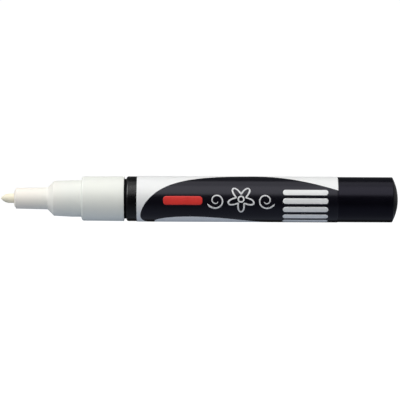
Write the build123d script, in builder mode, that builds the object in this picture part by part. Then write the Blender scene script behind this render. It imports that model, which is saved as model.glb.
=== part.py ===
from build123d import *
import math
import os

os.makedirs("parts", exist_ok=True)

# A valve-action liquid chalk marker, uncapped, lying on its side with the nib towards -X.
# Sizes are millimetres. A station is a distance from the nib's tip, along the marker.

# Lengths of the outside, from the nib to the tail
nib_reach = 4.5
nose_length = 11.3
cone_length = 2.15
cap_seat_length = 9.4
sleeve_length = 14.4
neck_gap = 0.85
collar_length = 3.5
label_length = 68.0
tail_length = 18.35
dome_rise = 1.95

# Radial steps of the outside, from the barrel inwards
barrel_diameter = 15.3
label_glue = 0.02
label_thickness = 0.08
collar_step = 0.05
sleeve_step = 0.025
sleeve_draft = 0.075
cap_step = 1.3
cap_lead = 0.3
cap_lead_length = 6.2

# Nib and nose
nib_diameter = 3.1
nib_tip_radius = 0.5
nib_bullet_length = 3.4
nib_end_bevel = 0.3
nib_fit = 0.05
nose_wall = 1.28
nose_draft = 0.22
nose_bevel_length = 0.6
nose_bevel_height = 1.1
flute_count = 6
flute_width = 0.9
flute_depth = 0.65
flute_inset = 1.0
cone_setback = 0.3

# Walls and snap joint of the front section and the barrel
front_wall = 1.4
sleeve_wall = 0.95
sleeve_end_wall = 1.5
neck_fit = 0.03
neck_wall = 0.95
end_wall = 1.6
bead_setback = 5.0
bead_width = 1.0
bead_height = 0.15

# Rounded edges
nose_round = 0.25
cone_root_round = 0.4
cone_top_round = 0.4
shoulder_root_round = 0.15
shoulder_flat = 0.35
sleeve_edge_round = 0.15
collar_round = 0.85
tail_round = 0.2

# Valve housing, gasket and spring retainer
flange_thickness = 1.4
housing_fit = 0.05
housing_wall = 0.9
housing_length = 12.4
housing_bevel = 0.3
gasket_thickness = 0.8
gasket_fit = 0.05
ink_gap = 0.8
seat_width = 0.9
retainer_thickness = 1.6
retainer_inset = 0.2
retainer_fit = 0.03
retainer_bead_width = 0.7
retainer_bead_height = 0.12
port_count = 6
port_diameter = 1.5
port_rim = 0.5

# Valve stem
nib_travel = 2.2
cup_clearance = 0.15
cup_depth = 2.5
cup_wall = 0.6
cup_floor = 1.0
cup_fit = 0.04
shank_diameter = 2.6
head_thickness = 1.6
spigot_length = 1.0
spigot_fit = 0.2
rod_diameter = 2.0
rod_overhang = 1.0
rod_bevel = 0.3
guide_fit = 0.05

# Valve spring
wire_diameter = 0.45
spring_diameter = 4.4
active_turns = 6
end_turns = 0.75
spring_seat_gap = 0.05
arcs_per_turn = 4

# Mixing ball, lying in the tail end of the ink chamber
ball_diameter = 6.0
ball_clearance = 0.1
ball_end_gap = 0.3

# Radii worked out from the steps and walls
barrel_radius = barrel_diameter / 2
label_inner_radius = barrel_radius + label_glue
label_radius = label_inner_radius + label_thickness
collar_radius = barrel_radius - collar_step
sleeve_rear_radius = collar_radius - sleeve_step
sleeve_front_radius = sleeve_rear_radius - sleeve_draft
cap_seat_radius = sleeve_front_radius - cap_step
cap_lead_radius = cap_seat_radius - cap_lead
shoulder_round = cap_step - shoulder_root_round - shoulder_flat
nib_radius = nib_diameter / 2
nib_bore_radius = nib_radius + nib_fit
flute_radius = nib_bore_radius + flute_depth
nose_tip_radius = flute_radius + nose_wall
nose_root_radius = nose_tip_radius + nose_draft
chamber_radius = cap_seat_radius - front_wall
sleeve_bore_radius = sleeve_rear_radius - sleeve_wall
neck_radius = sleeve_bore_radius - neck_fit
bore_radius = neck_radius - neck_wall
housing_radius = bore_radius - housing_fit
housing_bore_radius = housing_radius - housing_wall
gasket_radius = housing_bore_radius - gasket_fit
head_radius = housing_bore_radius - ink_gap
opening_radius = head_radius - seat_width
retainer_radius = housing_bore_radius - retainer_fit
port_circle_radius = retainer_radius - port_rim - port_diameter / 2
cup_bore_radius = nib_radius + cup_fit
cup_radius = cup_bore_radius + cup_wall
shank_radius = shank_diameter / 2
rod_radius = rod_diameter / 2
guide_radius = rod_radius + guide_fit
spring_radius = spring_diameter / 2
wire_radius = wire_diameter / 2
spigot_radius = spring_radius - wire_radius - spigot_fit
ball_radius = ball_diameter / 2
dome_radius = (barrel_radius**2 + dome_rise**2) / (2 * dome_rise)
inner_dome_radius = dome_radius - end_wall

# Stations worked out from the lengths
nose_root = nib_reach + nose_length
seat_front = nose_root + cone_length
shoulder = seat_front + cap_seat_length
sleeve_end = shoulder + sleeve_length
collar_front = sleeve_end + neck_gap
label_front = collar_front + collar_length
label_rear = label_front + label_length
tail_corner = label_rear + tail_length
overall_length = tail_corner + dome_rise
nib_bore_end = nose_root + cone_setback
chamber_front = nib_bore_end + chamber_radius - flute_radius
flange_front = shoulder + sleeve_end_wall
neck_rim = flange_front + flange_thickness
bead_middle = neck_rim + bead_setback
head_front = neck_rim + gasket_thickness
head_rear = head_front + head_thickness
housing_end = neck_rim + housing_length
retainer_rear = housing_end - retainer_inset
retainer_front = retainer_rear - retainer_thickness
retainer_middle = (retainer_front + retainer_rear) / 2
rod_end = retainer_rear + rod_overhang
nib_end = flange_front - cup_clearance - nib_travel - cup_floor
cup_mouth = nib_end - cup_depth
cup_rear = nib_end + cup_floor
dome_centre = overall_length - dome_radius
bore_corner = dome_centre + math.sqrt(inner_dome_radius**2 - bore_radius**2)

# The marker's axis lies along X, at the height where the label touches the table.
nib_tip = -overall_length / 2
axis_height = label_radius
side_plane = Plane((nib_tip, 0, axis_height), x_dir=(1, 0, 0), z_dir=(0, -1, 0))
marker_axis = Axis((nib_tip, 0, axis_height), (1, 0, 0))


def across(station):
    """Plane square to the marker's axis at a station, facing the tail."""
    return Plane((nib_tip + station, 0, axis_height), x_dir=(0, 1, 0), z_dir=(1, 0, 0))


def snap_ridge(middle, radius, width, height):
    """Four corners of a ring-shaped snap ridge standing on a wall of the given radius."""
    return [
        (middle - width / 2, radius),
        (middle - width / 4, radius + height),
        (middle + width / 4, radius + height),
        (middle + width / 2, radius),
    ]


# Fibre nib: a round tip, an ogive tangent to the tip and to the rod, and a bevelled rear end
ogive_radius = ((nib_bullet_length - nib_tip_radius) ** 2 + nib_radius**2 - nib_tip_radius**2) / (
    2 * (nib_radius - nib_tip_radius)
)
ogive_angle = math.atan2(ogive_radius - nib_radius, nib_bullet_length - nib_tip_radius)
tip_blend = (
    nib_tip_radius * (1 - math.cos(ogive_angle)),
    nib_tip_radius * math.sin(ogive_angle),
)

with BuildPart() as nib:
    with BuildSketch(side_plane):
        with BuildLine():
            TangentArc((0, 0), tip_blend, tangent=(0, 1))
            TangentArc((nib_bullet_length, nib_radius), tip_blend, tangent=(-1, 0))
            Polyline(
                (nib_bullet_length, nib_radius),
                (nib_end - nib_end_bevel, nib_radius),
                (nib_end, nib_radius - nib_end_bevel),
                (nib_end, 0),
                (0, 0),
            )
        make_face()
    revolve(axis=marker_axis)
nib.part.label = "nib"
export_step(nib.part, "parts/nib.step")

# Front section: slim nose, cone, cap seat and wide sleeve, bored for the nib and the valve
with BuildPart() as front_section:
    with BuildSketch(side_plane):
        with BuildLine():
            FilletPolyline(
                (nib_reach, 0),
                (nib_reach, nose_tip_radius - nose_bevel_height),
                (nib_reach + nose_bevel_length, nose_tip_radius),
                (nose_root, nose_root_radius),
                (seat_front, cap_lead_radius),
                (seat_front + cap_lead_length, cap_seat_radius),
                (shoulder, cap_seat_radius),
                (shoulder, sleeve_front_radius),
                (sleeve_end, sleeve_rear_radius),
                (sleeve_end, 0),
                radius=[
                    nose_round,
                    nose_round,
                    cone_root_round,
                    cone_top_round,
                    0,
                    shoulder_root_round,
                    shoulder_round,
                    sleeve_edge_round,
                ],
            )
            Line((sleeve_end, 0), (nib_reach, 0))
        make_face()
    revolve(axis=marker_axis)
    with BuildSketch(side_plane):
        with BuildLine():
            Polyline(
                (nib_reach, 0),
                (nib_reach, nib_bore_radius),
                (nib_bore_end, nib_bore_radius),
                (nib_bore_end, flute_radius),
                (chamber_front, chamber_radius),
                (flange_front, chamber_radius),
                (flange_front, sleeve_bore_radius),
                *snap_ridge(bead_middle, sleeve_bore_radius, bead_width + 2 * neck_fit, bead_height),
                (sleeve_end, sleeve_bore_radius),
                (sleeve_end, 0),
                close=True,
            )
        make_face()
    revolve(axis=marker_axis, mode=Mode.SUBTRACT)
    with BuildSketch(across(nib_reach + flute_inset)):
        with PolarLocations(flute_radius / 2, flute_count):
            Rectangle(flute_radius, flute_width)
    extrude(amount=nib_bore_end - nib_reach - flute_inset, mode=Mode.SUBTRACT)
front_section.part.label = "front_section"
export_step(front_section.part, "parts/front_section.step")

# Valve housing: a flange clamped on the neck's rim, the valve opening and a skirt down the bore
with BuildPart() as valve_housing:
    with BuildSketch(side_plane):
        with BuildLine():
            Polyline(
                (flange_front, opening_radius),
                (flange_front, neck_radius),
                (neck_rim, neck_radius),
                (neck_rim, housing_radius),
                (housing_end - housing_bevel, housing_radius),
                (housing_end, housing_radius - housing_bevel),
                (housing_end, housing_bore_radius),
                *reversed(
                    snap_ridge(
                        retainer_middle,
                        housing_bore_radius,
                        retainer_bead_width + 2 * retainer_fit,
                        retainer_bead_height,
                    )
                ),
                (neck_rim, housing_bore_radius),
                (neck_rim, opening_radius),
                close=True,
            )
        make_face()
    revolve(axis=marker_axis)
valve_housing.part.label = "valve_housing"
export_step(valve_housing.part, "parts/valve_housing.step")

# Flat rubber ring on the seat, which the stem's head closes against
with BuildPart() as seat_gasket:
    with BuildSketch(across(neck_rim)):
        Circle(gasket_radius)
        Circle(opening_radius, mode=Mode.SUBTRACT)
    extrude(amount=gasket_thickness)
seat_gasket.part.label = "seat_gasket"
export_step(seat_gasket.part, "parts/seat_gasket.step")

# Valve stem: a cup for the nib's rear end, shank, sealing head, spring spigot and guide rod
with BuildPart() as valve_stem:
    with BuildSketch(side_plane):
        with BuildLine():
            Polyline(
                (nib_end, 0),
                (nib_end, cup_bore_radius),
                (cup_mouth, cup_bore_radius),
                (cup_mouth, cup_radius),
                (cup_rear, cup_radius),
                (cup_rear, shank_radius),
                (head_front, shank_radius),
                (head_front, head_radius),
                (head_rear, head_radius),
                (head_rear, spigot_radius),
                (head_rear + spigot_length, spigot_radius),
                (head_rear + spigot_length, rod_radius),
                (rod_end - rod_bevel, rod_radius),
                (rod_end, rod_radius - rod_bevel),
                (rod_end, 0),
                close=True,
            )
        make_face()
    revolve(axis=marker_axis)
valve_stem.part.label = "valve_stem"
export_step(valve_stem.part, "parts/valve_stem.step")

# Spring retainer: a disc snapped into the housing's end, with a guide hole and ink ports
with BuildPart() as spring_retainer:
    with BuildSketch(side_plane):
        with BuildLine():
            Polyline(
                (retainer_front, guide_radius),
                (retainer_front, retainer_radius),
                *snap_ridge(retainer_middle, retainer_radius, retainer_bead_width, retainer_bead_height),
                (retainer_rear, retainer_radius),
                (retainer_rear, guide_radius),
                close=True,
            )
        make_face()
    revolve(axis=marker_axis)
    with BuildSketch(across(retainer_front)):
        with PolarLocations(port_circle_radius, port_count):
            Circle(port_diameter / 2)
    extrude(amount=retainer_thickness, mode=Mode.SUBTRACT)
spring_retainer.part.label = "spring_retainer"
export_step(spring_retainer.part, "parts/spring_retainer.step")

# Valve spring: a wire helix between the head and the retainer, with level end turns
spring_front = head_rear + spring_seat_gap + wire_radius
spring_rear = retainer_front - spring_seat_gap - wire_radius
spring_turns = active_turns + 2 * end_turns
spring_pitch = (spring_rear - spring_front) / active_turns


def spring_point(turn):
    """Point on the wire's centre line after a number of turns."""
    climb = spring_pitch * min(max(turn - end_turns, 0), active_turns)
    angle = 2 * math.pi * turn
    return Vector(
        nib_tip + spring_front + climb,
        spring_radius * math.sin(angle),
        axis_height + spring_radius * math.cos(angle),
    )


def spring_heading(turn):
    """Direction of the wire there, averaged over one arc so that level and climbing turns blend."""
    reach = 0.5 / arcs_per_turn
    return (spring_point(turn + reach) - spring_point(turn - reach)).normalized()


with BuildPart() as valve_spring:
    with BuildLine() as spring_wire:
        for arc in range(round(spring_turns * arcs_per_turn)):
            start = spring_point(arc / arcs_per_turn)
            stop = spring_point((arc + 1) / arcs_per_turn)
            heading = spring_heading(arc / arcs_per_turn)
            leaving = spring_heading((arc + 1) / arcs_per_turn)
            # Two arcs that share a tangent where they meet, at equal tangent lengths
            span = stop - start
            both = heading + leaving
            turned = 2 * (1 - heading.dot(leaving))
            along = span.dot(both)
            reach = (math.sqrt(along**2 + turned * span.dot(span)) - along) / turned
            first_corner = start + heading * reach
            second_corner = stop - leaving * reach
            meeting = (first_corner + second_corner) * 0.5
            TangentArc(start, meeting, tangent=heading)
            TangentArc(meeting, stop, tangent=second_corner - first_corner)
    with BuildSketch(Plane(spring_wire.line @ 0, z_dir=spring_wire.line % 0)):
        Circle(wire_radius)
    sweep()
valve_spring.part.label = "valve_spring"
export_step(valve_spring.part, "parts/valve_spring.step")

# Barrel: one black moulding with a neck, a collar, a straight bore and a closed, domed tail
with BuildPart() as barrel:
    with BuildSketch(side_plane):
        with BuildLine():
            FilletPolyline(
                (neck_rim, bore_radius),
                (neck_rim, neck_radius),
                *snap_ridge(bead_middle, neck_radius, bead_width, bead_height),
                (collar_front, neck_radius),
                (collar_front, collar_radius),
                (label_front, collar_radius),
                (label_front, barrel_radius),
                (tail_corner, barrel_radius),
                radius=[0, 0, 0, 0, 0, 0, collar_round, 0, 0],
            )
            TangentArc((overall_length, 0), (tail_corner, barrel_radius), tangent=(0, 1))
            Line((overall_length, 0), (overall_length - end_wall, 0))
            TangentArc((overall_length - end_wall, 0), (bore_corner, bore_radius), tangent=(0, 1))
            Line((bore_corner, bore_radius), (neck_rim, bore_radius))
        make_face()
    revolve(axis=marker_axis)
    rings = barrel.edges().filter_by(GeomType.CIRCLE).filter_by(Plane.YZ)
    fillet(rings.group_by(SortBy.RADIUS)[-1].sort_by(Axis.X)[-1], radius=tail_round)
barrel.part.label = "barrel"
export_step(barrel.part, "parts/barrel.step")

# Printed label film wrapped round the barrel, the widest part of the marker
with BuildPart() as label_film:
    with BuildSketch(across(label_front)):
        Circle(label_radius)
        Circle(label_inner_radius, mode=Mode.SUBTRACT)
    extrude(amount=label_length)
label_film.part.label = "label_film"
export_step(label_film.part, "parts/label_film.step")

# Steel ball that stirs the ink, loose in the bore and resting near the domed end
ball_drop = bore_radius - ball_radius - ball_clearance
ball_reach = inner_dome_radius - ball_radius - ball_end_gap
ball_station = dome_centre + math.sqrt(ball_reach**2 - ball_drop**2)

with BuildPart(Plane((nib_tip + ball_station, 0, axis_height - ball_drop))) as mixing_ball:
    Sphere(ball_radius)
mixing_ball.part.label = "mixing_ball"
export_step(mixing_ball.part, "parts/mixing_ball.step")
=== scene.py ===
import math

import bmesh
import bpy
import numpy as np
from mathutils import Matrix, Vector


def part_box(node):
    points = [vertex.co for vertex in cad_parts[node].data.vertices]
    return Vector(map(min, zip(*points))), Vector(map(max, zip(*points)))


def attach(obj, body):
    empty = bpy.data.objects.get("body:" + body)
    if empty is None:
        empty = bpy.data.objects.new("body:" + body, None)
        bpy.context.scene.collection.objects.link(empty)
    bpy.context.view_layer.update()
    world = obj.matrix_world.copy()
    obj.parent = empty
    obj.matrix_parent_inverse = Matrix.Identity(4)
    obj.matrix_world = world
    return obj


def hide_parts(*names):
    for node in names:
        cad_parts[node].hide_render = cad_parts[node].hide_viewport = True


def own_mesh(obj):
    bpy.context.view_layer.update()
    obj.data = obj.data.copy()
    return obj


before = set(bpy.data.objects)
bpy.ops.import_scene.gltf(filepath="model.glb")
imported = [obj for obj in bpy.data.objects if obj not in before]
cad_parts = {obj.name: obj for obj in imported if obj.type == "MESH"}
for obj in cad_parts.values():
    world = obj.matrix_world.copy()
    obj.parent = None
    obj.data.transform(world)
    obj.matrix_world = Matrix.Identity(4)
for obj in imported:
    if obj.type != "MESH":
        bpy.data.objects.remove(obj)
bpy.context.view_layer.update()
mm = 0.001

# The marker lies along X. A station is millimetres from the nib's tip, a radius is millimetres from the
# axis, and an angle is degrees from the top of the marker, down over its front.
labelLow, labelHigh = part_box("label_film")
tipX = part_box("nib")[0].x
axisZ = (labelLow.z + labelHigh.z) / 2


def stationOf(x):
    return (x - tipX) / mm


# x follows the station; y and z go round the axis at the radius, so angle 0 is the top and 90 faces -Y.
def roundAxis(station, radius, angle):
    station, radius, angle = np.broadcast_arrays(station, radius, np.radians(angle))
    return np.stack([tipX + mm * station, -mm * radius * np.sin(angle),
                     axisZ + mm * radius * np.cos(angle)], axis=-1)


# Each vector over its own length.
def unitRows(vectors, shortest=1e-12):
    return vectors / np.maximum(np.linalg.norm(vectors, axis=-1, keepdims=True), shortest)


# Corners are a station, a radius and a round. Each round becomes an arc tangent to both neighbours: its
# points swing from one tangent point to the other about the centre. Long straight runs get a point close
# to each end, so that smooth shading bends on the arcs alone.
def roundedProfile(corners, closed=True, arcPoints=9, longRun=0.5, nearEnd=0.03, longest=6.0):
    leastHalf, leastSwing, leastStep = 1e-3, 1e-6, 1e-5
    corners = np.asarray(corners, float)
    place, size = corners[:, :2], corners[:, 2:]
    back = unitRows(np.roll(place, 1, axis=0) - place)
    ahead = unitRows(np.roll(place, -1, axis=0) - place)
    half = np.arccos(np.clip((back * ahead).sum(1, keepdims=True), -1, 1)) / 2
    half = np.maximum(half, leastHalf)
    start, stop = place + back * size / np.tan(half), place + ahead * size / np.tan(half)
    centre = (place + unitRows(back + ahead) * size / np.sin(half))[:, None]
    swing = np.maximum(math.pi - 2 * half, leastSwing)[:, None]
    share = np.linspace(0, 1, arcPoints)[None, :, None]
    arcs = centre + ((start[:, None] - centre) * np.sin((1 - share) * swing)
                     + (stop[:, None] - centre) * np.sin(share * swing)) / np.sin(swing)
    runs = []
    for arc, left, reached in zip(arcs, stop, np.roll(start, -1, axis=0)):
        length = np.linalg.norm(reached - left)
        steps = np.empty(0)
        if length > longRun:
            steps = np.linspace(0, 1, int(length / longest) + 2)[1:-1]
            steps = np.concatenate([[nearEnd / length], steps, [1 - nearEnd / length]])
        runs += [arc, left + (reached - left) * steps[:, None]]
    profile = np.vstack(runs if closed else runs[:-1])
    return profile[np.linalg.norm(profile - np.roll(profile, 1, axis=0), axis=1) > leastStep]


# A grid of points, rows by columns, with the quads between them. A closed direction joins its last line
# to its first.
def gridOf(points, closedRows=False, closedColumns=False):
    rows, columns = points.shape[:2]
    index = np.arange(rows * columns).reshape(rows, columns)
    index = np.vstack([index, index[:1]]) if closedRows else index
    index = np.hstack([index, index[:, :1]]) if closedColumns else index
    quads = np.stack([index[:-1, :-1], index[:-1, 1:], index[1:, 1:], index[1:, :-1]], axis=-1)
    return points.reshape(-1, 3), quads.reshape(-1, 4)


# One smooth mesh from all the grids. A solid one gets its faces turned outwards.
def meshFrom(name, grids, finish, solid, mergeDistance=1e-7):
    starts = np.cumsum([0] + [len(points) for points, quads in grids])
    mesh = bpy.data.meshes.new(name)
    mesh.from_pydata(np.vstack([points for points, quads in grids]).tolist(), [],
                     np.vstack([quads + start for (points, quads), start in zip(grids, starts)]).tolist())
    work = bmesh.new()
    work.from_mesh(mesh)
    bmesh.ops.remove_doubles(work, verts=work.verts, dist=mergeDistance)    # closes poles and seams
    if solid:
        bmesh.ops.recalc_face_normals(work, faces=work.faces)
    work.to_mesh(mesh)
    work.free()
    mesh.polygons.foreach_set("use_smooth", np.ones(len(mesh.polygons), bool))
    mesh.materials.append(finish)
    thing = bpy.data.objects.new(name, mesh)
    bpy.context.collection.objects.link(thing)
    return thing


def addPiece(name, grids, finish, body, solid=True):
    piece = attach(meshFrom(name, grids, finish, solid), body)
    return piece


# A profile turned about the axis; the radius may also change round the turn.
def turned(profile, sides, closed=True, extraRadius=0):
    turn = np.linspace(0, 360, sides, endpoint=False)
    return gridOf(roundAxis(profile[:, :1], profile[:, 1:2] + extraRadius, turn), closed, True)


# Node trees: a socket value is linked, any other value is set.
def nodeAdder(tree):
    def add(kind, inputs, **settings):
        node = tree.nodes.new("ShaderNode" + kind)
        for key, value in settings.items():
            setattr(node, key, value)
        for key, value in inputs.items():
            if isinstance(value, bpy.types.NodeSocket):
                tree.links.new(value, node.inputs[key])
            else:
                node.inputs[key].default_value = value
        return node
    return add


# One sum of up to three values; MULTIPLY_ADD is a times b plus c.
def maths(add, operation, a, b=0.0, c=0.0):
    return add("Math", {0: a, 1: b, 2: c}, operation=operation).outputs[0]


# From low at the start to high at the stop, level beyond both, with no corner.
def ease(add, value, start, stop, low=0.0, high=1.0):
    return add("MapRange", {"Value": value, "From Min": start, "From Max": stop, "To Min": low,
                            "To Max": high}, interpolation_type="SMOOTHSTEP").outputs["Result"]


# A Mix node's colour inputs are sockets 6 and 7, and its colour output is socket 2.
def mixColours(add, share, first, second):
    return add("Mix", {"Factor": share, 6: first, 7: second}, data_type="RGBA").outputs[2]


def newGroup(name, inputs, outputs):
    group = bpy.data.node_groups.new(name, "ShaderNodeTree")
    for socketName, kind, value in inputs:
        socket = group.interface.new_socket(socketName, in_out="INPUT", socket_type="NodeSocket" + kind)
        socket.default_value = value
    for socketName, kind in outputs:
        group.interface.new_socket(socketName, in_out="OUTPUT", socket_type="NodeSocket" + kind)
    given, out = group.nodes.new("NodeGroupInput"), group.nodes.new("NodeGroupOutput")
    return group, nodeAdder(group), given.outputs, out.inputs


def newFinish(name):
    material = bpy.data.materials.new(name)
    material.use_nodes = True
    material.node_tree.nodes.clear()
    return material, nodeAdder(material.node_tree)


# Fine grain over broad cloudy patches: the patches tint the colour, both change the roughness, and the
# grain is the height.
def mouldGrain():
    group, add, given, out = newGroup(
        "mouldGrain",
        [("Colour", "Color", (0.8, 0.8, 0.8, 1)), ("Patch Colour", "Color", (0.7, 0.7, 0.7, 1)),
         ("Patch Scale", "Float", 90), ("Grain Scale", "Float", 5000), ("Roughness", "Float", 0.4),
         ("Spread", "Float", 0.1)],
        [("Colour", "Color"), ("Roughness", "Float"), ("Height", "Float")])
    where = add("TexCoord", {}).outputs["Object"]
    patch = add("TexNoise", {"Vector": where, "Scale": given["Patch Scale"], "Detail": 3}).outputs["Fac"]
    grain = add("TexNoise", {"Vector": where, "Scale": given["Grain Scale"], "Detail": 2}).outputs["Fac"]
    tint = add("MapRange", {"Value": patch, "From Min": 0.35, "From Max": 0.65}).outputs["Result"]
    aboutZero = maths(add, "ADD", maths(add, "ADD", patch, grain), -1.0)
    rough = maths(add, "MULTIPLY_ADD", aboutZero, given["Spread"], given["Roughness"])
    group.links.new(mixColours(add, tint, given["Colour"], given["Patch Colour"]), out["Colour"])
    group.links.new(rough, out["Roughness"])
    group.links.new(grain, out["Height"])
    return group


# Rub marks in a band round the marker: strongest at the edge's X, gone at the width. Drawn-out noise breaks
# them up, less so as they get more even.
def edgeRub():
    group, add, given, out = newGroup(
        "edgeRub",
        [("Edge X", "Float", 0.0), ("Width", "Float", 0.003), ("Amount", "Float", 0.5),
         ("Even", "Float", 0.0), ("Scale", "Float", 1500)],
        [("Rub", "Float")])
    where = add("TexCoord", {}).outputs["Object"]
    along = add("SeparateXYZ", {0: where}).outputs["X"]
    away = maths(add, "ABSOLUTE", maths(add, "SUBTRACT", along, given["Edge X"]))
    band = ease(add, away, 0.0, given["Width"], 1.0, 0.0)
    drawn = add("Mapping", {"Vector": where, "Scale": (2.0, 0.35, 0.35)}).outputs["Vector"]
    noise = add("TexNoise", {"Vector": drawn, "Scale": given["Scale"], "Detail": 4}).outputs["Fac"]
    broken = add("MapRange", {"Value": noise, "From Min": 0.45, "From Max": 0.75}).outputs["Result"]
    broken = add("Mix", {"Factor": given["Even"], "A": broken, "B": 1.0}).outputs[0]
    mask = maths(add, "MULTIPLY", maths(add, "MULTIPLY", band, broken), given["Amount"])
    group.links.new(mask, out["Rub"])
    return group


# Streaks along the marker: noise squeezed across and stretched along X, as colour share and height.
def drawnFibre():
    group, add, given, out = newGroup(
        "drawnFibre",
        [("Across", "Float", 6000), ("Along", "Float", 500), ("Contrast", "Float", 0.2)],
        [("Streak", "Float"), ("Height", "Float")])
    where = add("TexCoord", {}).outputs["Object"]
    squeeze = add("CombineXYZ", {"X": given["Along"], "Y": given["Across"], "Z": given["Across"]}).outputs[0]
    scaled = add("VectorMath", {0: where, 1: squeeze}, operation="MULTIPLY").outputs[0]
    noise = add("TexNoise", {"Vector": scaled, "Scale": 1.0, "Detail": 5}).outputs["Fac"]
    low, high = maths(add, "SUBTRACT", 0.5, given["Contrast"]), maths(add, "ADD", 0.5, given["Contrast"])
    streak = add("MapRange", {"Value": noise, "From Min": low, "From Max": high}).outputs["Result"]
    group.links.new(streak, out["Streak"])
    group.links.new(noise, out["Height"])
    return group


grainGroup, rubGroup, fibreGroup = mouldGrain(), edgeRub(), drawnFibre()


# Plastic, film, ink and rubber: grain for colour, roughness and height, then rub bands that shift colour and
# roughness towards the worn look.
def grainFinish(name, look):
    material, add = newFinish(name)
    grain = add("Group", {"Colour": (*look["colour"], 1), "Patch Colour": (*look["patchColour"], 1),
                          "Patch Scale": look["patchScale"], "Grain Scale": look["grainScale"],
                          "Roughness": look["roughness"], "Spread": look["spread"]},
                node_tree=grainGroup).outputs
    colour, rough = grain["Colour"], grain["Roughness"]
    for edgeX, width, amount, even, rubColour in look.get("rubs", []):
        rub = add("Group", {"Edge X": edgeX, "Width": width, "Amount": amount, "Even": even},
                  node_tree=rubGroup).outputs[0]
        colour = mixColours(add, rub, colour, (*rubColour, 1))
        rough = maths(add, "MULTIPLY_ADD", rub, look["rubRoughness"], rough)
    bump = add("Bump", {"Height": grain["Height"], "Strength": look["bump"], "Distance": look["depth"] * mm})
    shader = add("BsdfPrincipled", {"Base Color": colour, "Roughness": rough, "Normal": bump.outputs[0],
                                    "Specular IOR Level": look["specular"],
                                    "Specular Tint": (*look.get("glossTint", (1, 1, 1)), 1)})
    add("OutputMaterial", {"Surface": shader.outputs[0]})
    return material


# Fibre and drawn metal: two colours along the streaks, roughness and height from the same streaks.
def streakFinish(name, look):
    material, add = newFinish(name)
    fibre = add("Group", {"Across": look["across"], "Along": look["along"], "Contrast": look["contrast"]},
                node_tree=fibreGroup).outputs
    colour = mixColours(add, fibre["Streak"], (*look["colour"], 1), (*look["streakColour"], 1))
    smooth, coarse = look["roughness"]
    rough = add("MapRange", {"Value": fibre["Streak"], "To Min": smooth, "To Max": coarse})
    bump = add("Bump", {"Height": fibre["Height"], "Strength": look["bump"], "Distance": look["depth"] * mm})
    shader = add("BsdfPrincipled", {"Base Color": colour, "Roughness": rough.outputs[0],
                                    "Normal": bump.outputs[0], "Metallic": look["metallic"],
                                    "Specular IOR Level": look["specular"]})
    add("OutputMaterial", {"Surface": shader.outputs[0]})
    return material


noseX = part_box("front_section")[0].x
seatX = tipX + mm * 27.2      # where the cap's mouth stops
collarX = tipX + mm * 42.6    # front of the black collar
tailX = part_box("barrel")[1].x

# A rub is an X and a width in metres, an amount, how even it is and its colour. A depth is in millimetres.
whitePlastic = grainFinish("whitePlastic", {
    "colour": (0.86, 0.87, 0.815), "patchColour": (0.84, 0.85, 0.805), "patchScale": 120, "grainScale": 4200,
    "roughness": 0.55, "spread": 0.10, "bump": 0.35, "depth": 0.004, "specular": 0.4,
    "rubs": [(noseX, 0.022, 0.9, 1.0, (0.96, 0.895, 0.82)), (seatX, 0.002, 0.25, 0.0, (0.62, 0.63, 0.63)),
             (noseX, 0.0015, 0.2, 0.0, (0.64, 0.62, 0.58))], "rubRoughness": 0.05})
blackPlastic = grainFinish("blackPlastic", {
    "colour": (0.0008, 0.0006, 0.0022), "patchColour": (0.0013, 0.0011, 0.0030),
    "glossTint": (0.78, 0.75, 1.0), "patchScale": 160, "grainScale": 2600, "roughness": 0.25, "spread": 0.08,
    "bump": 0.25, "depth": 0.003, "specular": 0.21,
    "rubs": [(tailX, 0.004, 0.4, 0.0, (0.03, 0.03, 0.034))], "rubRoughness": 0.15})
collarBlack = grainFinish("collarBlack", {
    "colour": (0.0010, 0.0010, 0.0014), "patchColour": (0.0018, 0.0018, 0.0022), "patchScale": 160,
    "grainScale": 2600, "roughness": 0.28, "spread": 0.06, "bump": 0.2, "depth": 0.003, "specular": 0.26,
    "rubs": [(collarX, 0.0008, 0.4, 0.0, (0.04, 0.04, 0.042))], "rubRoughness": 0.05})
neckBlack = grainFinish("neckBlack", {
    "colour": (0.0010, 0.0010, 0.0014), "patchColour": (0.0018, 0.0018, 0.0022), "patchScale": 200,
    "grainScale": 3500, "roughness": 0.60, "spread": 0.10, "bump": 0.4, "depth": 0.004, "specular": 0.06})
filmWhite = grainFinish("filmWhite", {
    "colour": (0.88, 0.88, 0.88), "patchColour": (0.86, 0.86, 0.865), "patchScale": 70, "grainScale": 900,
    "roughness": 0.40, "spread": 0.06, "bump": 0.25, "depth": 0.004, "specular": 0.4})
filmBlack = grainFinish("filmBlack", {
    "colour": (0.0014, 0.0011, 0.0036), "patchColour": (0.0021, 0.0018, 0.0046),
    "glossTint": (0.84, 0.83, 0.98), "patchScale": 90, "grainScale": 900, "roughness": 0.26, "spread": 0.06,
    "bump": 0.25, "depth": 0.004, "specular": 0.335})
filmRed = grainFinish("filmRed", {
    "colour": (0.76, 0.045, 0.038), "patchColour": (0.71, 0.038, 0.032), "patchScale": 300,
    "grainScale": 1500, "roughness": 0.32, "spread": 0.08, "bump": 0.25, "depth": 0.003, "specular": 0.26})
chalkInk = grainFinish("chalkInk", {
    "colour": (0.84, 0.84, 0.85), "patchColour": (0.66, 0.66, 0.68), "patchScale": 1400, "grainScale": 4000,
    "roughness": 0.55, "spread": 0.15, "bump": 0.5, "depth": 0.006, "specular": 0.25})
naturalPlastic = grainFinish("naturalPlastic", {
    "colour": (0.80, 0.82, 0.80), "patchColour": (0.76, 0.78, 0.76), "patchScale": 200, "grainScale": 4000,
    "roughness": 0.40, "spread": 0.10, "bump": 0.3, "depth": 0.004, "specular": 0.4})
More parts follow.
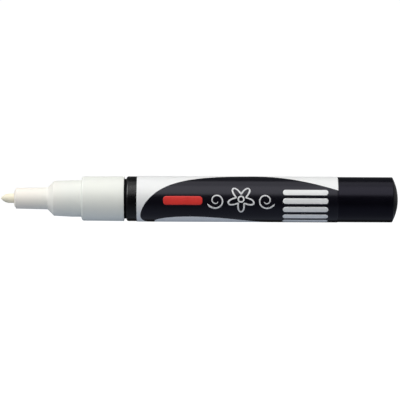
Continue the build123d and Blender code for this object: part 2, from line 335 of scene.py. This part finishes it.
gasketRubber = grainFinish("gasketRubber", {
    "colour": (0.035, 0.035, 0.038), "patchColour": (0.055, 0.055, 0.058), "patchScale": 500,
    "grainScale": 6000, "roughness": 0.75, "spread": 0.12, "bump": 0.5, "depth": 0.010, "specular": 0.3})
nibFibre = streakFinish("nibFibre", {
    "colour": (0.96, 0.90, 0.75), "streakColour": (0.89, 0.82, 0.63), "roughness": (0.80, 0.95),
    "across": 5200, "along": 700, "contrast": 0.22, "bump": 0.6, "depth": 0.03,
    "metallic": 0.0, "specular": 0.2})
springSteel = streakFinish("springSteel", {
    "colour": (0.60, 0.60, 0.61), "streakColour": (0.42, 0.42, 0.44), "roughness": (0.22, 0.36),
    "across": 3000, "along": 3000, "contrast": 0.25, "bump": 0.3, "depth": 0.004,
    "metallic": 1.0, "specular": 0.5})
ballSteel = streakFinish("ballSteel", {
    "colour": (0.66, 0.66, 0.68), "streakColour": (0.56, 0.56, 0.59), "roughness": (0.08, 0.16),
    "across": 900, "along": 900, "contrast": 0.3, "bump": 0.15, "depth": 0.004,
    "metallic": 1.0, "specular": 0.5})
print("finishes made:", len(bpy.data.materials))


# Nib: a small round tip, an arc that swells to the rod, the rod, and a slimmer bevelled end that sits in the
# valve stem.
nib = {"rod": 1.62, "tipRound": 0.6, "bullet": 3.0, "waist": 14.0, "waistRound": 0.3, "tenon": 1.55,
       "bevel": 0.3, "endRound": 0.05, "tipSteps": 14, "swellSteps": 40, "sides": 128}


def buildNib():
    length = stationOf(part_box("nib")[1].x)
    # The big arc is tangent to the rod where the bullet ends, and touches the tip's circle from outside.
    inner, step = nib["rod"] - nib["tipRound"], nib["bullet"] - nib["tipRound"]
    big = (inner ** 2 + step ** 2) / (2 * inner) + nib["tipRound"]
    meet = math.atan2(step, big - nib["rod"])
    tip = np.linspace(0, math.pi / 2 - meet, nib["tipSteps"])
    swell = np.linspace(meet, 0, nib["swellSteps"])[1:]
    tipRows = np.stack([nib["tipRound"] * (1 - np.cos(tip)), nib["tipRound"] * np.sin(tip), 0 * tip], axis=1)
    swellRows = np.stack([nib["bullet"] - big * np.sin(swell), nib["rod"] - big * (1 - np.cos(swell)),
                          0 * swell], axis=1)
    rear = [(nib["waist"], nib["rod"], nib["waistRound"]),
            (nib["waist"] + nib["bevel"], nib["tenon"], nib["waistRound"]),
            (length - nib["bevel"], nib["tenon"], nib["endRound"]),
            (length, nib["tenon"] - nib["bevel"], nib["endRound"]), (length, 0, 0)]
    profile = roundedProfile(np.vstack([tipRows, swellRows, rear]), closed=False)
    rod = turned(profile, nib["sides"], closed=False)
    piece = addPiece("nib_body", [rod], nibFibre, "nib_rod")
    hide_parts("nib")


# Front section: nose, cone, cap seat, shoulder and sleeve outside; nib bore with ink channels, chamber and
# snap groove inside.
nibBore = 1.67
front = {
    "outside": [(4.5, 2.43, 0.25), (5.1, 3.53, 0.25), (15.8, 3.75, 0.4), (17.95, 5.9, 0.4),
                (24.15, 6.2, 6.0), (27.35, 6.2, 0.15), (27.35, 7.5, 0.8), (41.75, 7.575, 0.15)],
    "inside": [(41.75, 6.625, 0.1), (35.78, 6.625, 0.03), (35.515, 6.775, 0.03), (34.985, 6.775, 0.03),
               (34.72, 6.625, 0.03), (28.85, 6.625, 0.05), (28.85, 4.8, 0.1), (18.65, 4.8, 0.3),
               (16.1, 2.25, 0.05), (16.1, nibBore, 0.02), (5.55, nibBore, 0), (5.45, nibBore, 0),
               (4.5, nibBore, 0.06)],
    "channels": 6, "channelDepth": 0.65, "channelHalfAngle": 13.5, "channelFlank": 2, "channelStart": 5.5,
    "boreSlack": 0.01, "sides": 192}


def buildFront():
    profile = roundedProfile(front["outside"] + front["inside"])
    turn = np.linspace(0, 360, front["sides"], endpoint=False)
    pitch, flank = 360 / front["channels"], front["channelFlank"]
    offset = np.abs((turn + pitch / 2) % pitch - pitch / 2)          # to the nearest channel's middle
    channel = np.clip((front["channelHalfAngle"] + flank / 2 - offset) / flank, 0, 1)
    inBore = (profile[:, 1] < nibBore + front["boreSlack"]) & (profile[:, 0] > front["channelStart"])
    deeper = front["channelDepth"] * inBore[:, None] * channel[None, :]
    shell = turned(profile, front["sides"], extraRadius=deeper)
    piece = addPiece("front_shell", [shell], whitePlastic, "body")
    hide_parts("front_section")


# Barrel: neck with its snap bead and stop ring, collar with fine turned lines, tube under the label, and the
# domed tail.
barrel = {
    "neck": [(30.25, 5.645, 0.1), (30.25, 6.595, 0.2), (34.75, 6.595, 0.03), (35.0, 6.745, 0.03),
             (35.5, 6.745, 0.03), (35.75, 6.595, 0.03), (41.82, 6.595, 0.03), (41.82, 6.75, 0.05),
             (42.52, 6.75, 0.02), (42.52, 7.6, 0.8)],
    "lines": {"from": 43.5, "to": 45.8, "count": 6, "depth": 0.035, "radius": 7.6, "stepsEach": 16},
    "tube": [(46.05, 7.6, 0.02), (46.05, 7.65, 0.02), (132.45, 7.65, 0.25)],
    "domeCentre": 118.42, "domeRim": 7.2, "domeSteps": 32, "wall": 1.6, "bore": 5.645, "neckGap": 0.1,
    "sides": 224}


def buildBarrel():
    apex = stationOf(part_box("barrel")[1].x)
    lines = barrel["lines"]
    across = np.linspace(0, 1, lines["stepsEach"] * lines["count"] + 1)
    along = lines["from"] + (lines["to"] - lines["from"]) * across
    dip = lines["depth"] * (1 - np.cos(2 * math.pi * lines["count"] * across)) / 2
    lineRows = np.stack([along, lines["radius"] - dip, 0 * across], axis=1)

    # A spherical cap: stations and radii swing from the rim in to the axis.
    def capRows(radius, rim):
        swing = np.linspace(math.asin(rim / radius), 0, barrel["domeSteps"])
        station = barrel["domeCentre"] + radius * np.cos(swing)
        return np.stack([station, radius * np.sin(swing), 0 * swing], axis=1)

    outer = capRows(apex - barrel["domeCentre"], barrel["domeRim"])
    inner = capRows(apex - barrel["domeCentre"] - barrel["wall"], barrel["bore"])[::-1]
    corners = np.vstack([inner, barrel["neck"], lineRows, barrel["tube"], outer])
    shell = turned(roundedProfile(corners, closed=False), barrel["sides"], closed=False)
    piece = addPiece("barrel_shell", [shell], blackPlastic, "body")
    # The tail is slot 0, the collar up to the label slot 1, and the neck in front of it slot 2.
    piece.data.materials.append(collarBlack)
    piece.data.materials.append(neckBlack)
    middles = np.empty(3 * len(piece.data.polygons))
    piece.data.polygons.foreach_get("center", middles)
    middles = middles[::3]
    collarEnd, neckEnd = tipX + mm * barrel["tube"][0][0], collarX - mm * barrel["neckGap"]
    slots = (middles < collarEnd).astype(np.int32) + (middles < neckEnd)
    piece.data.polygons.foreach_set("material_index", slots)
    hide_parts("barrel")


# Label film: a thin tube with eased edges. The print lies on it as layers of ink, and ink over ink starts
# at a share of the lower layer's thickness.
label = {"front": 46.05, "rear": 113.9, "inner": 7.67, "innerEdge": 0.01, "edge": 0.03, "ink": 0.014,
         "overprint": 0.6, "sides": 224}
filmRadius = labelHigh.y / mm - label["ink"]
overprintRadius = filmRadius + label["ink"] * label["overprint"]


def buildFilm():
    profile = roundedProfile([(label["front"], label["inner"], label["innerEdge"]),
                              (label["front"], filmRadius, label["edge"]),
                              (label["rear"], filmRadius, label["edge"]),
                              (label["rear"], label["inner"], label["innerEdge"])])
    piece = addPiece("label_wrap", [turned(profile, label["sides"])], filmWhite, "body")
    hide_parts("label_film")


# Ink gets its thickness outwards from the film, and a rim all round.
def addInk(name, grids, finish):
    piece = addPiece(name, grids, finish, "body", solid=False)
    thick = piece.modifiers.new("ink", "SOLIDIFY")
    thick.thickness, thick.offset = label["ink"] * mm, 1


# Joined cubic curves: every third point is on the line, the two between pull it.
def curveThrough(points, steps=60):
    share = np.linspace(0, 1, steps)[:, None]
    rest = 1 - share
    points = np.asarray(points, float)
    parts = [rest ** 3 * a + 3 * rest ** 2 * share * b + 3 * rest * share ** 2 * c + share ** 3 * d
             for a, b, c, d in zip(points[0:-3:3], points[1:-2:3], points[2:-1:3], points[3::3])]
    return np.vstack(parts)


# Black colour block: between an upper and a lower line of station and angle, the same on the front and the
# back. The lower line is the front corner's curve and then the curve over a white lens; elsewhere the block
# closes under the marker, at 180. The grid keeps its angles and is clipped at both lines. Its rows crowd
# towards the front as the sum of two powers, each with a weight.
block = {
    "upper": [(47.3, 138.0), (47.3, 95.0), (54.0, 28.0), (84.0, 7.0), (88.0, 4.2), (96.5, 25.0),
              (label["rear"], 66.5)],
    "corner": [(47.3, 138.0), (47.3, 152.0), (49.0, 167.0), (50.4, 180.0)],
    "lensFront": (52.0, 180.0),
    "lens": [(52.1, 160.5), (52.2, 152.5), (55.6, 140.0), (64.0, 140.0), (74.0, 140.0), (86.0, 158.0),
             (91.3, 180.0)],
    "crowding": [(0.35, 2.0), (0.65, 1.35)], "rows": 300, "columns": 60}


def buildBlock():
    upper = curveThrough(block["upper"])
    lower = np.vstack([curveThrough(block["corner"]), [block["lensFront"]], curveThrough(block["lens"])])
    along = np.linspace(0, 1, block["rows"])
    share = sum(weight * along ** power for weight, power in block["crowding"])
    station = upper[0, 0] + (upper[-1, 0] - upper[0, 0]) * share
    lensRows = [block["lensFront"][0], block["lens"][0][0]]
    station = np.union1d(station, lensRows)[:, None]
    top, bottom = np.interp(station, *upper.T), np.interp(station, *lower.T)
    angle = np.clip(np.linspace(top.min(), bottom.max(), block["columns"]), top, bottom)
    radius = np.full_like(station, filmRadius)
    # One more row folds the ink down over the film's rear edge.
    station, angle = np.vstack([station, station[-1:]]), np.vstack([angle, angle[-1:]])
    radius = np.vstack([radius, [[label["inner"]]]])
    frontHalf = gridOf(roundAxis(station, radius, angle))
    backHalf = gridOf(roundAxis(station, radius, -angle[:, ::-1]))
    addInk("print_block", [frontHalf, backHalf], filmBlack)


# Rounded bar on the unrolled label: the half width is full in the middle and follows a circle at each end.
def roundedBar(station, angle, length, width, corner, rows=65, columns=11):
    along = length / 2 * np.sin(np.linspace(-math.pi / 2, math.pi / 2, rows))
    reach = np.maximum(np.abs(along) - (length / 2 - corner), 0)
    half = width / 2 - corner + np.sqrt(np.maximum(corner ** 2 - reach ** 2, 0))
    across = np.degrees(half[:, None] * np.linspace(-1, 1, columns) / filmRadius)
    return gridOf(roundAxis(station + along[:, None], overprintRadius, angle + across))


bars = {"station": 102.9, "firstAngle": 72.6, "pitch": 21.77, "count": 5,
        "bar": {"length": 15.25, "width": 1.92, "corner": 0.92}}
accent = {"station": 61.6, "angle": 94.0, "length": 13.2, "width": 3.0, "corner": 1.1}


def buildBars():
    angles = bars["firstAngle"] + bars["pitch"] * np.arange(bars["count"])
    addInk("print_bars", [roundedBar(bars["station"], angle, **bars["bar"]) for angle in angles], filmWhite)
    addInk("print_accent", [roundedBar(**accent)], filmRed)


# Chalk stroke: a path in millimetres on the unrolled label, widened to both sides along its own normal.
def chalkStroke(path, half, closed, columns=5):
    ahead = np.roll(path, -1, axis=0) - np.roll(path, 1, axis=0) if closed else np.gradient(path, axis=0)
    side = unitRows(np.stack([-ahead[:, 1], ahead[:, 0]], axis=1))
    wide = path[:, None] + side[:, None] * half[:, None, None] * np.linspace(-1, 1, columns)[None, :, None]
    points = roundAxis(ornament["station"] + wide[..., 0], overprintRadius,
                       ornament["angle"] + np.degrees(wide[..., 1] / filmRadius))
    return gridOf(points, closedRows=closed)


# Ornament: a five-petal blossom with a ring in its heart, and a curling tendril on each side. A waver is a
# share of the stroke's width, its waves round the turn and its phase.
ornament = {"station": 81.2, "angle": 90.0, "petals": 5, "blossom": 4.5, "dent": 0.30, "heart": 0.95,
            "half": 0.26, "wavers": [(0.10, 7, 1), (0.07, 17, 0)], "steps": 240,
            "curl": {"centre": 8.4, "lift": 0.5, "wide": 3.1, "tight": 0.75, "from": 200, "to": 690,
                     "closing": 0.8, "taper": 0.04, "point": 0.02, "startWidth": 1.1, "lostWidth": 0.5,
                     "steps": 160}}


# The blossom's radius dips between the petals by a cosine; a tendril is a spiral that tapers at both ends.
def buildOrnament():
    turn = np.linspace(0, 2 * math.pi, ornament["steps"], endpoint=False)
    ringHalf = ornament["half"] * (1 + sum(size * np.sin(waves * turn + phase)
                                           for size, waves, phase in ornament["wavers"]))
    petal = ornament["blossom"] * (1 - ornament["dent"] * (1 + np.cos(ornament["petals"] * turn)))
    rings = [chalkStroke(np.stack([size * np.sin(turn), -size * np.cos(turn)], axis=1), ringHalf, True)
             for size in (petal, 0 * turn + ornament["heart"])]
    curl = ornament["curl"]
    share = np.linspace(0, 1, curl["steps"])
    swing = np.radians(curl["from"] + (curl["to"] - curl["from"]) * share)
    size = curl["wide"] + (curl["tight"] - curl["wide"]) * share ** curl["closing"]
    taper = np.sqrt(np.clip(np.minimum(share, 1 - share) / curl["taper"], curl["point"], 1))
    half = ornament["half"] * taper * (curl["startWidth"] - curl["lostWidth"] * share)
    right = np.stack([curl["centre"] - size * np.cos(swing), curl["lift"] - size * np.sin(swing)], axis=1)
    tendrils = [chalkStroke(right, half, False), chalkStroke(right[::-1] * (-1, 1), half[::-1], False)]
    addInk("print_ornament", rings + tendrils, chalkInk)


# Valve spring: a round wire carried along a helix that is level at both ends; its ends close to points.
spring = {"wire": 0.45, "endTurns": 0.75, "activeTurns": 6, "keep": 0.73, "stepsPerTurn": 40,
          "ringSides": 12}


def buildSpring():
    low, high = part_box("valve_spring")
    mean = high.y / mm - spring["wire"] / 2
    first, last = stationOf(low.x) + spring["wire"] / 2, stationOf(high.x) - spring["wire"] / 2
    flat = spring["endTurns"]
    turns = spring["activeTurns"] + 2 * flat
    wound = np.linspace(0, turns, int(turns * spring["stepsPerTurn"]) + 1)
    rise = np.interp(wound, [0, flat, turns - flat, turns], [first, first, last, last])
    path = roundAxis(rise, mean, 360 * wound)
    ahead = unitRows(np.gradient(path, axis=0))
    outward = unitRows(path - roundAxis(rise, 0, 0))
    sideways = np.cross(ahead, outward)
    ring = np.linspace(0, 2 * math.pi, spring["ringSides"], endpoint=False)[None, :, None]
    spokes = outward[:, None] * np.cos(ring) + sideways[:, None] * np.sin(ring)
    reach = np.ones((len(path), 1, 1))
    reach[[0, -1]] = 0
    points = path[:, None] + mm * spring["wire"] / 2 * reach * spokes
    coil = gridOf(points, closedColumns=True)
    piece = addPiece("spring_coil", [coil], springSteel, "body")
    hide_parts("valve_spring")
    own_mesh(piece)


for build in (buildNib, buildFront, buildBarrel, buildFilm, buildBlock, buildBars, buildOrnament,
              buildSpring):
    build()
print("pieces made:", len(bpy.data.meshes))

# The inner CAD nodes keep their shapes and take these finishes.
innerFinishes = {"valve_housing": naturalPlastic, "valve_stem": naturalPlastic,
                 "spring_retainer": naturalPlastic, "seat_gasket": gasketRubber, "mixing_ball": ballSteel}
for node, finish in innerFinishes.items():
    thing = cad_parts[node]
    thing.data.materials.clear()
    thing.data.materials.append(finish)


# Floor: flat round the marker, turned up into a low wall far away. It is plain white far out and where it is
# seen edge on, and elsewhere it shows the shadow that falls on it. A pale glow along the marker lights its
# underside. Lengths are in metres.
floor = {"flat": 2.0, "bend": 0.3, "wall": 0.55, "drop": 0.00002, "firstRing": 0.02, "rings": 24,
         "bendSteps": 12, "sides": 96, "halfLength": 0.067, "colour": (0.145, 0.155, 0.165),
         "seenBoost": 2.2, "glossDim": 0.7, "glossShare": 0.08, "edgeOn": (0.955, 0.985),
         "glow": (0.58, 0.97), "farFade": (0.06, 0.5), "tableGlow": (0.004, 0.022, 0.30),
         "tableColour": (0.84, 0.95, 1.14, 1), "glossUnder": (0.0024, 0.0034)}


def floorFinish():
    material, add = newFinish("floorWhite")
    rays = add("LightPath", {}).outputs
    cameraRay, glossRay = rays["Is Camera Ray"], rays["Is Glossy Ray"]
    where = add("SeparateXYZ", {0: add("TexCoord", {}).outputs["Object"]}).outputs
    past = maths(add, "SUBTRACT", maths(add, "ABSOLUTE", where["X"]), floor["halfLength"])
    past = maths(add, "MAXIMUM", past, 0.0)
    fromMarker = add("CombineXYZ", {"X": past, "Y": where["Y"]}).outputs[0]
    away = add("VectorMath", {0: fromMarker}, operation="LENGTH").outputs["Value"]
    edgeOn = ease(add, add("LayerWeight", {"Blend": 0.5}).outputs["Facing"], *floor["edgeOn"])
    far = ease(add, away, *floor["farFade"])

    # The colour is brighter to the camera near the marker, and dimmer in mirror reflections.
    notEdgeOn, notFar = [maths(add, "MULTIPLY_ADD", mask, -1.0, 1.0) for mask in (edgeOn, far)]
    near = maths(add, "MULTIPLY", notEdgeOn, notFar)
    scale = maths(add, "MULTIPLY_ADD", maths(add, "MULTIPLY", near, cameraRay), floor["seenBoost"], 1.0)
    scale = maths(add, "MULTIPLY_ADD", glossRay, -floor["glossDim"], scale)
    shade = add("VectorMath", {0: floor["colour"], "Scale": scale}, operation="SCALE").outputs[0]

    # White where it is seen, and the glow along the marker for the light that falls on it.
    dim, bright = floor["glow"]
    level = maths(add, "MULTIPLY_ADD", edgeOn, bright - dim, dim)
    level = add("Mix", {"Factor": far, "A": level, "B": 1.0}).outputs[0]
    seen = maths(add, "MULTIPLY_ADD", glossRay, floor["glossShare"], cameraRay)
    white = maths(add, "MULTIPLY", level, maths(add, "ADD", seen, rays["Is Transmission Ray"]))
    # Painted shadow: close under the marker the glow is left out of mirror reflections, so the marker's
    # lowest edge reflects dark.
    under = ease(add, away, *floor["glossUnder"], -1.0, 0.0)
    clear = maths(add, "SUBTRACT", maths(add, "MULTIPLY_ADD", under, glossRay, 1.0), cameraRay)
    glow = maths(add, "MULTIPLY", ease(add, away, *floor["tableGlow"], 0.0), clear)
    surface = add("BsdfDiffuse", {"Color": shade}).outputs[0]
    for strength, colour in ((white, (1, 1, 1, 1)), (glow, floor["tableColour"])):
        light = add("Emission", {"Color": colour, "Strength": strength}).outputs[0]
        surface = add("AddShader", {0: surface, 1: light}).outputs[0]
    add("OutputMaterial", {"Surface": surface})
    return material


# Rings about the origin: level to the flat's end, then a quarter circle up, then straight to the wall's top.
def buildFloor():
    bend = np.linspace(0, math.pi / 2, floor["bendSteps"])[1:]
    level = np.concatenate([[0], np.geomspace(floor["firstRing"], floor["flat"], floor["rings"])])
    outermost = floor["flat"] + floor["bend"]
    reach = np.concatenate([level, floor["flat"] + floor["bend"] * np.sin(bend), [outermost]])
    height = np.concatenate([0 * level, floor["bend"] * (1 - np.cos(bend)), [floor["wall"]]]) - floor["drop"]
    turn = np.linspace(0, 2 * math.pi, floor["sides"], endpoint=False)
    points = np.stack([reach[:, None] * np.cos(turn), reach[:, None] * np.sin(turn),
                       height[:, None] + 0 * turn], axis=-1)
    meshFrom("floor", [gridOf(points, closedColumns=True)], floorFinish(), False)


buildFloor()

# Softboxes: azimuth and height angle in degrees, distance and size in metres. Azimuth 0 is in front, and -90
# is beyond the nib.
lamps = {
    "keyLight": {"azimuth": 0, "height": 46, "distance": 0.75, "size": (1.00, 0.64), "brightness": 2.15,
                 "colour": (1.0, 1.0, 0.97)},
    "leftLight": {"azimuth": -80, "height": 23, "distance": 0.60, "size": (0.26, 0.30), "brightness": 4.2},
    "edgeLight": {"azimuth": -68, "height": 38, "distance": 0.65, "size": (0.44, 0.56), "brightness": 6.5,
                  "onDiffuse": False},
    "fillLight": {"azimuth": 0, "height": 2, "distance": 0.90, "size": (1.20, 0.60), "brightness": 1.0,
                  "onGloss": False},
    "backLight": {"azimuth": 180, "height": 14, "distance": 0.90, "size": (1.20, 0.40), "brightness": 1.2,
                  "onGloss": False},
    "domeLight": {"azimuth": 140, "height": 7, "distance": 0.85, "size": (0.80, 0.22), "brightness": 0.09,
                  "onDiffuse": False},
    "topLight": {"azimuth": 0, "height": 85, "distance": 0.75, "size": (1.00, 0.42), "brightness": 1.25}}


# An area lamp aimed at the middle of the marker. Its power is brightness times pi times area.
def softbox(name, look):
    lamp = bpy.data.lights.new(name, "AREA")
    lamp.shape, lamp.size, lamp.size_y = "RECTANGLE", *look["size"]
    lamp.color = look.get("colour", (1.0, 1.0, 1.0))
    lamp.energy = look["brightness"] * math.pi * look["size"][0] * look["size"][1]
    thing = bpy.data.objects.new(name, lamp)
    bpy.context.collection.objects.link(thing)
    side, up = math.radians(look["azimuth"]), math.radians(look["height"])
    across = look["distance"] * math.cos(up)
    thing.location = (across * math.sin(side), -across * math.cos(side),
                      axisZ + look["distance"] * math.sin(up))
    thing.rotation_euler = (math.pi / 2 - up, 0, side)
    thing.visible_camera = False
    thing.visible_diffuse, thing.visible_glossy = look.get("onDiffuse", True), look.get("onGloss", True)


for name, look in lamps.items():
    softbox(name, look)

# A faint cool light from all round.
studio = {"colour": (0.9, 0.95, 1.0, 1), "strength": 0.12}
world = bpy.data.worlds.new("studio")
world.use_nodes = True
background = world.node_tree.nodes["Background"].inputs
background["Color"].default_value = studio["colour"]
background["Strength"].default_value = studio["strength"]
bpy.context.scene.world = world
bpy.context.scene.view_settings.view_transform = "Standard"

# Camera: square on to the printed face, level with the marker, a touch of roll. The width is what it sees
# at the marker's axis. Lengths are in metres, the sensor's in millimetres.
camera = {"distance": 0.83, "width": 0.1356, "aim": (0.00020, -0.00033), "roll": -0.255, "sensor": 36,
          "clip": (0.01, 20)}
lens = bpy.data.cameras.new("camera")
lens.sensor_width = camera["sensor"]
lens.lens = camera["sensor"] * camera["distance"] / camera["width"]
lens.clip_start, lens.clip_end = camera["clip"]
eye = bpy.data.objects.new("camera", lens)
bpy.context.collection.objects.link(eye)
eye.location = (camera["aim"][0], -camera["distance"], axisZ + camera["aim"][1])
eye.rotation_euler = (math.pi / 2, math.radians(camera["roll"]), 0)
bpy.context.scene.camera = eye
print("floor, lamps and camera set")
